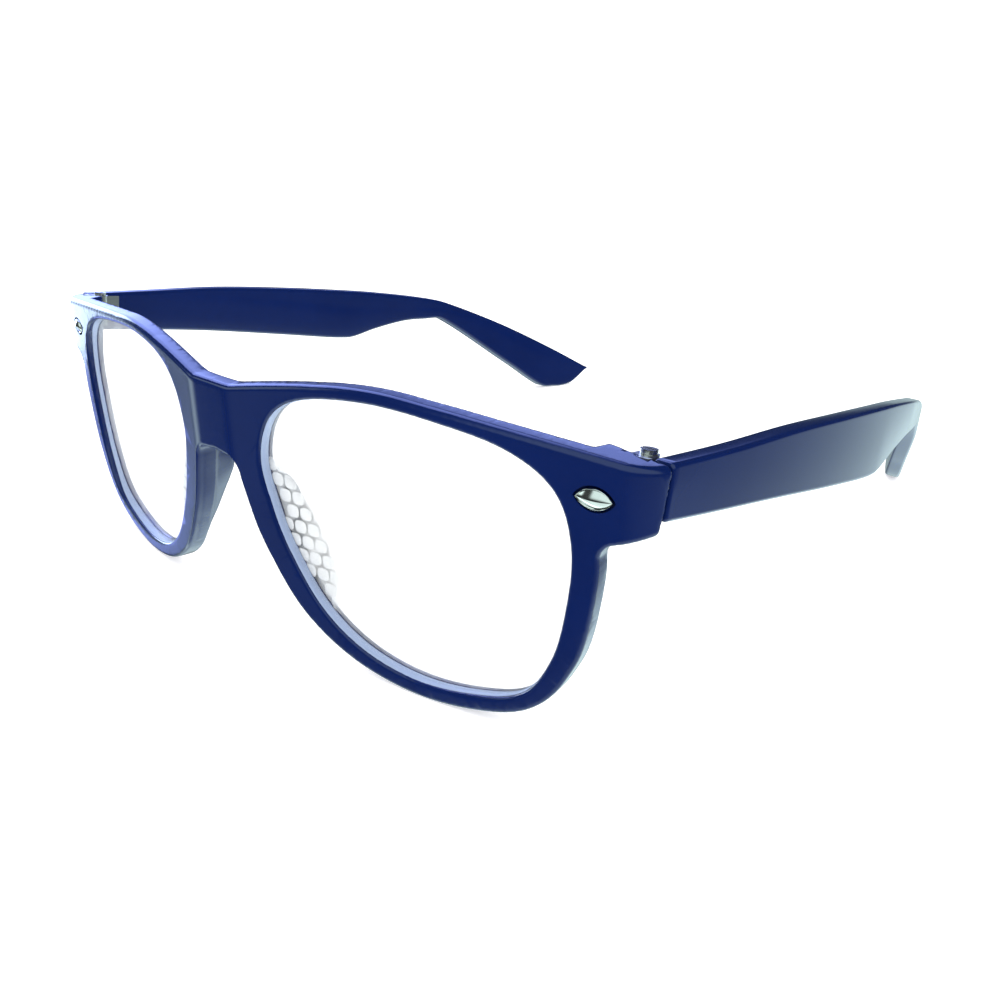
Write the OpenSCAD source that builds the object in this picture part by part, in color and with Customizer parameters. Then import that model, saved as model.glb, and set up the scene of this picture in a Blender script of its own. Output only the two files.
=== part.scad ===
// Diffraction glasses: a moulded front, two clear lenses with diffraction film, and two folding temple arms.
// X runs across the face, the front looks along -Y, the arms run back along +Y and Z is up.
// The glasses stand open on a table: both rims and both arm tips touch z = 0.

/* [Front] */
// Width of the flat facet in the middle of the bridge
bridge_flat = 9.8; // [8:0.2:14]
// Angle by which each half of the front turns back from the bridge, in degrees
wrap_angle = 10.7; // [6:0.1:14]
// Thickness of the front, from its face to its back
plate_thick = 3.2; // [2.8:0.1:4]
// Height of the bridge's top edge above the table
bridge_top = 42.3; // [40:0.1:43.4]
// Height of the bridge's lower edge above the table
bridge_bottom = 30.6; // [28:0.1:33]

/* [Lens openings] */
// Width of a lens opening
lens_width = 53; // [48:0.2:56]
// Height of a lens opening
lens_height = 41.3; // [38:0.1:43]
// Distance from the bridge facet to the lens opening
lens_from_bridge = 5.8; // [5:0.1:7]
// Rim below the lens
rim_bottom = 2.4; // [2:0.1:4]
// Rim above the lens
rim_top = 1.8; // [1.4:0.1:3]
// Rim on the side of the nose
rim_nose = 5.1; // [4:0.1:5.6]
// Rim on the side of the temple
rim_side = 3.8; // [3:0.1:5]
// Depth of the groove that holds the lens
groove_depth = 0.8; // [0.5:0.05:1]
// Distance from the front face to the groove
groove_from_face = 1.1; // [0.9:0.05:1.3]
// Thickness of the clear lens
lens_thick = 1; // [0.8:0.05:1.2]
// Thickness of the diffraction film behind the lens
film_thick = 0.15; // [0.1:0.01:0.25]
// Play between the lens edge and the bottom of the groove
lens_play = 0.1; // [0.05:0.01:0.2]

/* [End pieces] */
// Distance from the lens opening to the outer corner of the end piece
end_width = 9.64; // [9:0.02:10.6]
// Height of the end piece's top corner above the table
end_top = 42.8; // [41:0.1:43.4]
// Height of the end piece's lower corner above the table
end_bottom = 34.4; // [33:0.1:35.5]
// Distance from the end piece's outer corner back to the joint with the arm
end_depth = 3.4; // [3:0.02:5]
// Outward step of the end piece between its corner and the joint
end_flare = 1.2; // [0:0.1:1.8]
// Width of the block on the back of the end piece, which carries the hinge
block_width = 9.2; // [8.4:0.1:10]
// Radius of the fillet under the end piece
end_fillet = 2.6; // [1:0.1:3]

/* [Nose pads] */
// Height of the pad's middle above the table
pad_height = 20; // [18:0.5:22]
// Length of the pad, measured up and down
pad_length = 19.5; // [18:0.5:24]
// How far the pad stands behind the front
pad_depth = 4.5; // [2:0.1:6]
// Thickness of the pad's wall
pad_wall = 2.4; // [1.6:0.1:3]
// Sideways spread of the pad's rear edge
pad_spread = 2.1; // [0:0.1:3]

/* [Temple arms] */
// Length of the arm from the joint to its tip
arm_length = 136.6; // [130:0.2:142]
// Height of the arm at the joint
arm_root_height = 7.4; // [7.2:0.1:8.6]
// Height of the arm where it is broadest, before its lower edge steps in
arm_broad_height = 11.7; // [10:0.1:13]
// Place of the broadest height, measured from the joint
arm_broad_at = 64.4; // [58:0.2:68]
// Height of the waist above the ear
arm_waist_height = 4.9; // [3.8:0.1:6]
// Place of the waist, measured from the joint
arm_waist_at = 92; // [88:0.5:96]
// Height of the drooping tip, measured up and down
arm_tip_height = 9.8; // [8:0.1:11]
// Thickness of the arm
arm_thick = 3.3; // [3:0.1:3.8]
// Rounding of the arm's long edges
arm_round = 0.9; // [0.4:0.1:1.2]
// Angle by which the arm slopes down from the joint, in degrees
arm_slope = 9; // [8:0.25:10]
// Outward angle of the arm at the joint, in degrees
arm_splay = 2.5; // [1:0.25:4]
// Radius of the arm's inward bow, from the joint to the ear
arm_bow_radius = 420; // [340:5:600]
// Place where the arm starts to turn in behind the ear
ear_bend_at = 84; // [80:0.5:90]
// Length over which it turns in
ear_bend_length = 22; // [16:0.5:26]
// Angle by which it turns in, in degrees
ear_bend = 15.7; // [10:0.1:20]
// Gap between the end piece and the arm
joint_gap = 0.24; // [0.2:0.02:0.4]

/* [Hinge] */
// Radius of the hinge knuckles
knuckle_radius = 1.4; // [1.2:0.05:1.5]
// Height of one knuckle
knuckle_height = 1.96; // [1.6:0.02:2.1]
// Gap between two knuckles
knuckle_gap = 0.06; // [0.04:0.01:0.1]
// Distance of the hinge pin behind the joint
hinge_set_back = 1.7; // [1.6:0.05:1.9]
// Radius of the hinge screw's shaft
screw_radius = 0.6; // [0.5:0.05:0.7]
// Radial clearance round the screw
screw_play = 0.04; // [0.02:0.01:0.08]
// Radius of the screw's head
screw_head_radius = 1.15; // [1:0.05:1.25]
// Height of the screw's head
screw_head_height = 0.6; // [0.4:0.05:0.8]
// Width of the slot in the screw's head
screw_slot = 0.3; // [0.2:0.05:0.4]
// Thickness of the hinge leaves
leaf_thick = 0.9; // [0.7:0.05:1]
// Length of the temple leaf along the arm
leaf_length = 8; // [6:0.5:10]
// Clearance round a moulded-in leaf
leaf_play = 0.02; // [0.01:0.01:0.04]

/* [Studs] */
// Length of the lozenge stud
stud_length = 5.2; // [4:0.1:5.6]
// Height of the lozenge stud
stud_height = 2.8; // [2:0.1:3.4]
// How far the stud's ridge stands out of the front
stud_ridge = 0.7; // [0.4:0.05:1]
// Depth of the recess that the stud sits in
stud_recess = 0.35; // [0.2:0.05:0.5]
// Clearance round the stud
stud_play = 0.15; // [0.05:0.01:0.2]
// Radius of the stud's shank
stud_shank_radius = 0.7; // [0.5:0.05:0.9]
// Distance from the lens opening to the middle of the stud
stud_from_lens = 3; // [2.6:0.1:3.8]
// Height of the stud's middle above the table
stud_level = 37.9; // [37:0.1:38.5]

/* [Hidden] */
$fn = 48;

crease = bridge_flat / 2;
// Outer edge of the lens opening, and length of one half of the front, measured along its own plane
lens_end = lens_from_bridge + lens_width;
half_length = lens_end + end_width;
half_width = crease + half_length * cos(wrap_angle);
corner_depth = half_length * sin(wrap_angle);
joint_depth = corner_depth + end_depth;
// Outer face of the arm at the joint
joint_out = half_width + end_flare;
// Height of the arm's middle at the joint
joint_level = (end_top + end_bottom) / 2 + 0.7;
groove_width = lens_thick + film_thick + 0.1;
hinge_out = joint_out - arm_thick - knuckle_radius - 0.2;
knuckle_stack = 3 * knuckle_height + 2 * knuckle_gap;
// Underside of the lowest knuckle, measured from the arm's middle
knuckle_floor = -0.39 * knuckle_stack;
// Half the arm's height at the joint
root = arm_root_height / 2;
// Place of the arm's foot, where its drooping tip touches the table, and the foot's drop below the arm's middle
foot_at = arm_length * 0.95;
foot_reach = joint_gap / 2 + foot_at * cos(arm_splay) + (arm_inset(foot_at) + arm_thick - arm_round) * sin(arm_splay);
foot_drop = (joint_level - foot_reach * sin(arm_slope)) / cos(arm_slope);
// Level of the corner at the arm's very end
tip_level = arm_tip_height * 0.58 - foot_drop;
arc_steps = 6;

// Inward shift of the arm at a given place: a long bow, then the turn behind the ear, then straight on
function arm_inset(s) =
    let (a = min(s, ear_bend_at), b = max(min(s - ear_bend_at, ear_bend_length), 0),
         c = max(s - ear_bend_at - ear_bend_length, 0), turn = tan(ear_bend))
    a * a / (2 * arm_bow_radius) + (s - a) * ear_bend_at / arm_bow_radius
    + turn * (b * b / (2 * ear_bend_length) + c);

// Smooth curves through a few points
function bend(a, b, c, d, t) =
    0.5 * (2 * b + (c - a) * t + (2 * a - 5 * b + 4 * c - d) * t * t + (3 * b - a - 3 * c + d) * t * t * t);
function closed_curve(p, n) =
    let (k = len(p))
    [for (i = [0:k - 1]) for (j = [0:n - 1]) bend(p[(i + k - 1) % k], p[i], p[(i + 1) % k], p[(i + 2) % k], j / n)];
function open_curve(p, n) =
    let (k = len(p))
    concat([for (i = [0:k - 2]) for (j = [0:n - 1])
        bend(p[max(i - 1, 0)], p[i], p[i + 1], p[min(i + 2, k - 1)], j / n)], [p[k - 1]]);
// Height of an open curve at a given place along it, where the places rise from point to point
function height_at(p, s, i = 0) =
    i >= len(p) - 2 || s <= p[i + 1][0]
    ? let (a = p[max(i - 1, 0)], b = p[i], c = p[i + 1], d = p[min(i + 2, len(p) - 1)],
           w = c[0] - b[0], t = (s - b[0]) / w,
           m0 = i == 0 ? (c[1] - b[1]) / w : (c[1] - a[1]) / (c[0] - a[0]),
           m1 = i >= len(p) - 2 ? (c[1] - b[1]) / w : (d[1] - b[1]) / (d[0] - b[0]))
      b[1] * (2 * t * t * t - 3 * t * t + 1) + m0 * w * (t * t * t - 2 * t * t + t)
      + c[1] * (3 * t * t - 2 * t * t * t) + m1 * w * (t * t * t - t * t)
    : height_at(p, s, i + 1);

// Outline of the lens opening, as shares of its width and height
lens_shape = [[-0.002, 0.711], [0.047, 0.875], [0.167, 0.965], [0.384, 1], [0.611, 0.985], [0.819, 0.943],
    [0.951, 0.845], [0.998, 0.671], [0.986, 0.452], [0.947, 0.256], [0.861, 0.093], [0.704, 0.019],
    [0.516, -0.003], [0.335, 0.046], [0.189, 0.168], [0.08, 0.367], [0.025, 0.538]];
lens_curve = closed_curve([for (p = lens_shape)
    [lens_from_bridge + p[0] * lens_width, p[1] * lens_height]], arc_steps);
lens_floor = min([for (p = lens_curve) p[1]]);
lens_points = [for (p = lens_curve) [p[0], p[1] - lens_floor + rim_bottom]];
lens_top = rim_bottom + lens_height;

// Outward direction of the lens outline at one of its points
function lens_out(i) =
    let (k = len(lens_points), d = lens_points[(i + 1) % k] - lens_points[(i + k - 1) % k])
    [-d[1], d[0]] / norm(d);
// Width of the rim, from the direction in which it lies
function rim_at(d) =
    let (up = (d[1] + 1) / 2, level = rim_bottom * (1 - up) + rim_top * up)
    d[0] < 0 ? level + (rim_nose - level) * d[0] * d[0] : level + (rim_side - level) * pow(d[0], 6);
rim_points = [for (i = [0:len(lens_points) - 1])
    lens_points[i] + lens_out(i) * rim_at(lens_out(i))];

// Upper edge of one half of the front, from the bridge to the corner of the end piece
brow_top = lens_top + rim_top;
brow_points = open_curve([[0, bridge_top], [half_length * 0.12, bridge_top + 0.43 * (brow_top - bridge_top)],
    [half_length * 0.25, bridge_top + 0.81 * (brow_top - bridge_top)], [half_length * 0.4, brow_top],
    [half_length * 0.53, brow_top - 0.09 * (brow_top - end_top)],
    [half_length * 0.7, brow_top - 0.41 * (brow_top - end_top)],
    [half_length * 0.85, brow_top - 0.7 * (brow_top - end_top)], [half_length, end_top]], arc_steps);

module lens_outline() {
    polygon(lens_points);
}

// One half of the front as seen square to its face
module half_outline() {
    offset(r = -end_fillet) offset(delta = end_fillet) {
        polygon(rim_points);
        polygon(concat([[-2, bridge_top]], brow_points, [[half_length + 2, end_top - 0.1],
            [half_length + 2, end_bottom + 0.2], [half_length - 3.4, end_bottom - 2],
            [lens_end, end_bottom - 4], [lens_from_bridge + 8, end_bottom - 4],
            [lens_from_bridge + 1, bridge_bottom - 1], [0, bridge_bottom], [-2, bridge_bottom]]));
    }
}

// The frame of the half front on the +X side: its plane is drawn in X and Y, and Z runs from its face to its back
module half_frame() {
    translate([crease, 0, 0]) rotate([0, 0, wrap_angle]) rotate([90, 0, 0]) mirror([0, 0, 1]) children();
}

// The frame of the +X joint: Y runs back along the arm and Z along the hinge pin
module joint_frame() {
    translate([0, joint_depth, joint_level]) rotate([-arm_slope, 0, 0]) children();
}

// The frame of the +X arm: X is zero on its outer face
module arm_frame() {
    joint_frame() translate([joint_out, joint_gap / 2, 0]) rotate([0, 0, -arm_splay]) children();
}

// A closed solid through a row of sections that have the same number of points
module skin(sections) {
    n = len(sections[0]);
    m = len(sections);
    polyhedron(
        points = [for (s = sections) for (p = s) p],
        faces = concat(
            [[for (i = [0:n - 1]) i]],
            [for (j = [0:m - 2]) for (i = [0:n - 1]) [j * n + i, (j + 1) * n + i, j * n + (i + 1) % n]],
            [for (j = [0:m - 2]) for (i = [0:n - 1])
                [(j + 1) * n + i, (j + 1) * n + (i + 1) % n, j * n + (i + 1) % n]],
            [[for (i = [n - 1:-1:0]) (m - 1) * n + i]]));
}

// The end piece and hinge block from above
module end_plan() {
    back = joint_depth + 3;
    offset(r = 0.9) offset(delta = -0.9)
        polygon([[half_width - 12, corner_depth - 12 * tan(wrap_angle)], [half_width, corner_depth],
            [joint_out, joint_depth], [joint_out + 0.5, back], [joint_out - block_width, back],
            [joint_out - block_width - 1.2, corner_depth + 0.2]]);
}

// The wall of a nose pad, swept down the nasal side of the rim: deepest near its upper end, tapering out below
module nose_pad() {
    count = 14;
    low = pad_height - pad_length / 2;
    floor = plate_thick - 2.4;
    skin([for (j = [0:count])
        let (z = low + pad_length * j / count,
             lift = max(sin(180 * pow(j / count, 2.2)), 0),
             depth = plate_thick - 0.4 + (pad_depth + 0.4) * lift,
             middle = floor + (depth - 0.7 - floor) * 0.6,
             side = nose_side(z) + 0.15,
             wall = pad_wall * (0.6 + 0.4 * sqrt(lift)),
             out = pad_spread * sqrt(lift))
        [for (q = [[0, floor], [out * 0.5, middle], [out, depth - 0.7], [out + 0.3, depth - 0.15],
                [out + wall * 0.4, depth], [out + wall - 0.2, depth - 0.35], [out * 0.5 + wall + 0.2, middle],
                [wall + 0.3, floor]])
            [side + q[0], z, q[1]]]]);
}

// Place of the rim's nasal edge at a given height, measured from the bridge facet
nose_edge = [for (i = [0:len(rim_points) - 1]) if (lens_out(i)[0] < -0.25 && lens_shape_low(i)) rim_points[i]];
function lens_shape_low(i) = lens_points[i][1] < bridge_bottom + 3;
function nose_side(z) = lookup(z, [for (p = nose_edge) [p[1], p[0]]]);

// The lens seat, the lens and its film, drawn in the half front's own frame
module lens_seat() {
    translate([0, 0, groove_from_face]) linear_extrude(groove_width)
        offset(delta = groove_depth) lens_outline();
}

module lens_left() {
    color([0.93, 0.95, 0.97, 0.35]) translate([0, depth_shift, 0]) half_frame()
        translate([0, 0, groove_from_face + 0.05]) linear_extrude(lens_thick)
            offset(delta = groove_depth - lens_play) lens_outline();
}

module film_left() {
    color([0.86, 0.9, 0.92, 0.35]) translate([0, depth_shift, 0]) half_frame()
        translate([0, 0, groove_from_face + 0.05 + lens_thick]) linear_extrude(film_thick)
            offset(delta = groove_depth - lens_play) lens_outline();
}

// The lozenge from the front, grown all round
module lozenge(grow = 0) {
    half = stud_length / 2;
    tall = stud_height / 2;
    radius = (half * half + tall * tall) / (2 * tall);
    intersection() {
        translate([0, tall - radius]) circle(radius + grow, $fn = 120);
        translate([0, radius - tall]) circle(radius + grow, $fn = 120);
    }
}

module stud_place() {
    half_frame() translate([lens_end + stud_from_lens, stud_level, 0]) children();
}

module stud_left() {
    color([0.86, 0.86, 0.83]) translate([0, depth_shift, 0]) stud_place() {
        intersection() {
            translate([0, 0, -stud_ridge]) linear_extrude(stud_ridge + stud_recess) lozenge();
            rotate([0, 90, 0]) linear_extrude(stud_length + 2, center = true)
                polygon([[-stud_recess, -stud_height], [-stud_recess, stud_height], [0, stud_height],
                    [0.05, stud_height / 2], [stud_ridge * 0.75, stud_height * 0.2], [stud_ridge, 0],
                    [stud_ridge * 0.75, -stud_height * 0.2], [0.05, -stud_height / 2], [0, -stud_height]]);
        }
        translate([0, 0, stud_recess - 0.01]) cylinder(r = stud_shank_radius, h = 1.5);
    }
}

// Everything on the +X side of the front, as one solid
module half_front() {
    intersection() {
        half_frame() translate([0, 0, -1]) linear_extrude(plate_thick + 1) half_outline();
        half_frame() translate([0, -1, 0]) cube([half_length, 60, plate_thick]);
    }
    intersection() {
        half_frame() translate([0, 0, -1]) linear_extrude(14) half_outline();
        translate([0, 0, end_bottom - 2.2]) linear_extrude(12) end_plan();
    }
    half_frame() nose_pad();
}

module front_cuts() {
    half_frame() translate([0, 0, -2]) linear_extrude(plate_thick + 4) lens_outline();
    half_frame() lens_seat();
    joint_frame() translate([joint_out - 14, -joint_gap / 2, -6]) cube([30, 30, 20]);
    joint_frame() front_leaf_body(leaf_play);
    stud_place() {
        translate([0, 0, -1]) linear_extrude(1 + stud_recess) lozenge(stud_play);
        cylinder(r = stud_shank_radius + 0.02, h = stud_recess + 1.6);
    }
}

module front_frame() {
    color([0.04, 0.08, 0.42]) translate([0, depth_shift, 0]) difference() {
        union() {
            half_front();
            mirror([1, 0, 0]) half_front();
            translate([0, plate_thick, 0]) rotate([90, 0, 0]) linear_extrude(plate_thick)
                polygon([[-crease, bridge_bottom], [0, bridge_bottom + 0.5], [crease, bridge_bottom],
                    [crease, bridge_top], [-crease, bridge_top]]);
        }
        front_cuts();
        mirror([1, 0, 0]) front_cuts();
    }
}

// The plate of the front leaf, sunk flush into the joint face of the end piece
module front_leaf_body(grow = 0) {
    back = -joint_gap / 2;
    translate([hinge_out - knuckle_radius - 1.6 - grow, back - leaf_thick - grow, knuckle_floor - grow])
        cube([2 * knuckle_radius + 2 + 2 * grow, leaf_thick + 2 * grow, knuckle_stack + 2 * grow]);
}

module hinge_front_leaf_left() {
    color([0.6, 0.6, 0.6]) translate([0, depth_shift, 0]) joint_frame() difference() {
        union() {
            front_leaf_body();
            for (i = [0, 2]) translate([hinge_out, hinge_set_back, knuckle_floor + i * (knuckle_height + knuckle_gap)]) {
                cylinder(r = knuckle_radius, h = knuckle_height);
                translate([-knuckle_radius, -hinge_set_back - joint_gap / 2 - leaf_thick / 2, 0])
                    cube([knuckle_radius * 1.7, hinge_set_back + joint_gap / 2 + leaf_thick / 2, knuckle_height]);
            }
        }
        translate([hinge_out, hinge_set_back, knuckle_floor - 1])
            cylinder(r = screw_radius + screw_play, h = knuckle_stack + 2);
    }
}

// Middle knuckle of the hinge, and the plate that is sunk into the arm's inner face
module temple_leaf_body(grow = 0) {
    arm_inner = -arm_thick;
    arm_side() translate([arm_inner - 0.05, hinge_set_back + 1.2 - grow, knuckle_floor + 0.4 - grow])
        cube([leaf_thick + 0.05 + grow, leaf_length + 2 * grow, knuckle_stack - 0.8 + 2 * grow]);
    translate([hinge_out + (grow > 0 ? knuckle_radius : 0), hinge_set_back - 0.7 - grow,
            knuckle_floor + knuckle_height + knuckle_gap - grow])
        cube([joint_out - arm_thick + 0.5 - hinge_out - (grow > 0 ? knuckle_radius : 0) + grow, 3.4 + 2 * grow,
            knuckle_height + 2 * grow]);
}

// The arm's frame, seen from the joint's frame
module arm_side() {
    translate([joint_out, joint_gap / 2, 0]) rotate([0, 0, -arm_splay]) children();
}

module hinge_temple_leaf_left() {
    color([0.6, 0.6, 0.6]) translate([0, depth_shift, 0]) joint_frame() difference() {
        union() {
            temple_leaf_body();
            translate([hinge_out, hinge_set_back, knuckle_floor + knuckle_height + knuckle_gap])
                cylinder(r = knuckle_radius, h = knuckle_height);
        }
        translate([hinge_out, hinge_set_back, knuckle_floor - 1])
            cylinder(r = screw_radius + screw_play, h = knuckle_stack + 2);
    }
}

module hinge_screw_left() {
    color([0.75, 0.75, 0.75]) translate([0, depth_shift, 0]) joint_frame()
        translate([hinge_out, hinge_set_back, knuckle_floor]) difference() {
            union() {
                cylinder(r = screw_radius, h = knuckle_stack + 0.1);
                translate([0, 0, knuckle_stack + 0.02]) cylinder(r = screw_head_radius, h = screw_head_height);
            }
            translate([-2, -screw_slot / 2, knuckle_stack + screw_head_height * 0.5])
                cube([4, screw_slot, screw_head_height]);
        }
}

// Level of the arm's upper edge over the waist, and of its lower edge where it is broadest
arm_waist_top = root * 0.9;
arm_broad_low = root * 1.34 - arm_broad_height;
// Upper and lower edges of the arm, measured from the joint
arm_top = [[0, root], [arm_length * 0.1, root * 1.15], [arm_length * 0.225, root * 1.38],
    [arm_broad_at - arm_length * 0.115, root * 1.405], [arm_broad_at, root * 1.34],
    [arm_waist_at - arm_length * 0.13, root * 1.257], [arm_waist_at - arm_length * 0.03, arm_waist_top + root * 0.12],
    [arm_waist_at + arm_length * 0.022, arm_waist_top - root * 0.14],
    [arm_waist_at + arm_length * 0.135, arm_waist_top - root * 1.46],
    [arm_length * 0.918, arm_tip_height - foot_drop + root * 0.28], [arm_length, tip_level]];
// A point of the lower edge near the foot, at a given share of the arm's length and height above the table
function near_foot(along, up) = [foot_at + along * arm_length, up + along * arm_length * tan(arm_slope) - foot_drop];
arm_low = [[0, -root], [arm_length * 0.19, -root * 1.21], [arm_broad_at - arm_length * 0.125, arm_broad_low + root * 0.27],
    [arm_broad_at - arm_length * 0.03, arm_broad_low + root * 0.04], [arm_broad_at, arm_broad_low],
    [arm_broad_at + arm_length * 0.026, arm_broad_low + root * 0.05],
    [arm_broad_at + arm_length * 0.075, arm_broad_low + root * 0.62],
    [arm_waist_at - arm_length * 0.067, arm_waist_top - arm_waist_height - root * 0.24],
    [arm_waist_at - arm_length * 0.023, arm_waist_top - arm_waist_height - root * 0.07],
    [arm_waist_at + arm_length * 0.022, arm_waist_top - arm_waist_height - root * 0.09],
    near_foot(-0.107, arm_tip_height * 0.785), near_foot(-0.04, arm_tip_height * 0.07),
    near_foot(-0.018, arm_tip_height * 0.02), near_foot(0, 0), near_foot(0.022, arm_tip_height * 0.08),
    [arm_length, tip_level - arm_tip_height * 0.03]];
// Stations are closer together where the arm steps in and at its tip
arm_stations = concat([0, 2, 8, 16, 24, 32, 40, 47, 53], [for (s = [arm_broad_at - 4:1.5:arm_broad_at + 9]) s],
    [for (s = [arm_broad_at + 12:3:foot_at - 8]) s],
    [for (q = [5.6, 4.1, 2.6, 1.2, 0]) foot_at - q],
    [for (q = [0.2, 0.4, 0.55, 0.7, 0.82, 0.91, 0.975]) foot_at + q * (arm_length - foot_at)]);

// Cross-section of the arm: a slab with rounded edges
function arm_section(s) =
    let (top = height_at(arm_top, s), low = height_at(arm_low, s), out = -arm_inset(s),
         r = min(arm_round, (top - low) * 0.45), k = 0.3 * r)
    [for (q = [[0, top - r], [0, low + r], [-k, low + k], [-r, low], [r - arm_thick, low], [k - arm_thick, low + k],
            [-arm_thick, low + r], [-arm_thick, top - r], [k - arm_thick, top - k], [r - arm_thick, top],
            [-r, top], [-k, top - k]])
        [out + q[0], s, q[1]]];

// Depth of an arm's point behind the bridge face, and the shift that sets the object's middle on Y = 0
function arm_depth(p) = joint_depth + p[2] * sin(arm_slope)
    + (joint_gap / 2 + p[1] * cos(arm_splay) - p[0] * sin(arm_splay)) * cos(arm_slope);
depth_shift = -max([for (s = arm_stations) for (p = arm_section(s)) arm_depth(p)]) / 2;

module temple_left() {
    color([0.04, 0.08, 0.42]) translate([0, depth_shift, 0]) difference() {
        arm_frame() skin([for (s = arm_stations) arm_section(s)]);
        joint_frame() temple_leaf_body(leaf_play);
    }
}

module lens_right() { mirror([1, 0, 0]) lens_left(); }
module film_right() { mirror([1, 0, 0]) film_left(); }
module temple_right() { mirror([1, 0, 0]) temple_left(); }
module hinge_front_leaf_right() { mirror([1, 0, 0]) hinge_front_leaf_left(); }
module hinge_temple_leaf_right() { mirror([1, 0, 0]) hinge_temple_leaf_left(); }
module hinge_screw_right() { mirror([1, 0, 0]) hinge_screw_left(); }
module stud_right() { mirror([1, 0, 0]) stud_left(); }

front_frame();
lens_left();
lens_right();
film_left();
film_right();
temple_left();
temple_right();
hinge_front_leaf_left();
hinge_front_leaf_right();
hinge_temple_leaf_left();
hinge_temple_leaf_right();
hinge_screw_left();
hinge_screw_right();
stud_left();
stud_right();
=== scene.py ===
# Looks of the diffraction glasses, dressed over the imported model
import math

import bmesh
import bpy
import numpy as np
from mathutils import Matrix, Vector


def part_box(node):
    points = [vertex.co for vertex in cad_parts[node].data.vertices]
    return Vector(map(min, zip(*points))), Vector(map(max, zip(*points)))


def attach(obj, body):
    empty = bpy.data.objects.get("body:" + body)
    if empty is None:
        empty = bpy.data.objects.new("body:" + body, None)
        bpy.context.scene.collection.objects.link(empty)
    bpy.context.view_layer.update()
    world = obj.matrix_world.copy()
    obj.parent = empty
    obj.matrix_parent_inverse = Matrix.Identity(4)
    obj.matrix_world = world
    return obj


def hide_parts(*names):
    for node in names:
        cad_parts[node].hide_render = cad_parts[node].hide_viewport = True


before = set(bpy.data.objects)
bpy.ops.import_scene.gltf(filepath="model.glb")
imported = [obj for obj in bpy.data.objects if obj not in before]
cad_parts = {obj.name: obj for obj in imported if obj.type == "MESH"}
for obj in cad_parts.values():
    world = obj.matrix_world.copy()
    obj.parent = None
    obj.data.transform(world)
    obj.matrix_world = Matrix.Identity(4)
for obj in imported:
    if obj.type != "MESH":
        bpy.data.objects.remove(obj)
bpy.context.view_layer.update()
MM = 0.001

# Sizes of the front in millimetres, as in the model's source
crease = 4.9
wrap = math.radians(10.7)
plate_thick = 3.2
bridge_top = 42.3
bridge_bottom = 30.6
lens_width = 53
lens_height = 41.3
lens_from_bridge = 5.8
rim_bottom = 2.4
rim_top = 1.8
rim_nose = 5.1
rim_side = 3.8
end_width = 9.64
end_top = 42.8
end_bottom = 34.4
end_depth = 3.4
end_flare = 1.2
block_width = 9.2
block_drop = 2.2
end_fillet = 2.6
pad_height = 20
pad_length = 19.5
pad_spread = 2.1

# Sizes of the arms
arm_length = 136.6
arm_root_height = 7.4
arm_broad_height = 11.7
arm_broad_at = 64.4
arm_waist_height = 4.9
arm_waist_at = 92
arm_tip_height = 9.8
arm_thick = 3.3
arm_round = 0.9
arm_slope = math.radians(9)
arm_splay = math.radians(2.5)
arm_bow_radius = 420
ear_bend_at = 84
ear_bend_length = 22
ear_bend = math.radians(15.7)
joint_gap = 0.24

# Studs
stud_length = 5.2
stud_height = 2.8
stud_recess = 0.35
stud_from_lens = 3
stud_level = 37.9
stud_play = 0.35
stud_well = 0.9

# The stud's cap: a ridge that falls towards its ends and sides, and a lip along its edge
stud_ridge = 0.6
ridge_end_power = 0.75
ridge_side_power = 1.4
ridge_share = 0.85
lip_height = 0.16
lip_share = 0.93
lip_half = 0.1
stud_sink = 0.02

# The film's cells, and their depths behind the front face
film_front = 2.1
cell_wide = 2.6
cell_tall = 2.35
cell_gap = 0.27
cell_sink = 0.01
cell_peak = 0.085

# The zone beside the nose in which the film's net shows: its middle, its lean and its half width and height
net_edge = 14.7
net_lean = 0.43
net_level = 20
net_wide = 6.5
net_tall = 12

# The lens's visible edge, from its front to its back. It starts further back on the outer side.
edge_start = 0.35
edge_slant = 0.8
edge_end = 2

# Edge roundings of the visible plastic. The front's own one grows between two heights.
edge_round = 0.5
front_edge_round = 1.05
round_levels = [33, 39]
lens_edge_round = 0.45
corner_round = 2.8
joint_round = 0.35
arm_edge_round = 0.7
crease_soft = 0.3
back_soft = 0.4

# The cut beside the arm reaches this far in from the outside, and down to this height
joint_zone = 16
joint_floor = 30
# The larger rounding is for the edges of the face, and for all edges this near to the end
end_zone = 2.5
# The plate stops this far before the end piece's corner
plate_short = 3

# Details of the nose pads
pad_rise = 2.2
pad_step = 0.15
pad_slope = 0.85
pad_round = 0.7
pad_fillet = 0.5
pad_root = 1.6
pad_margin = 0.3

# Colours
blue_deep = (0.0015, 0.0088, 0.067)
blue_bright = (0.002, 0.0108, 0.079)
chrome_colour = (0.87, 0.86, 0.82)
hinge_colour = (0.62, 0.62, 0.6)
screw_colour = (0.72, 0.71, 0.68)
lens_colour = (0.93, 0.95, 0.97)
film_colour = (0.9, 0.93, 0.94)
# Painted highlight: the lens edge's pale bluish colour stands for the light the edge catches
lens_edge_highlight_colour = (0.38, 0.48, 0.7)
floor_dark = (0.93, 0.93, 0.93)
floor_pale = (0.95, 0.95, 0.95)

# The photograph's view. The eye is in millimetres, its Y measured from the bridge face.
view_azimuth = math.radians(43.227)
view_elevation = math.radians(23.01)
view_roll = math.radians(-0.209)
view_eye = (135.81, -79.69, 86.505)
focal_pixels = 1033.83
frame_pixels = 1000
sensor_width = 36

# Sizes that follow from these
lens_end = lens_from_bridge + lens_width
half_length = lens_end + end_width
half_width = crease + half_length * math.cos(wrap)
corner_depth = half_length * math.sin(wrap)
joint_depth = corner_depth + end_depth
joint_out = half_width + end_flare
joint_level = (end_top + end_bottom) / 2 + 0.7
root = arm_root_height / 2
front_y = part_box("front_frame")[0].y / MM
grid_step = 0.33


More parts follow.
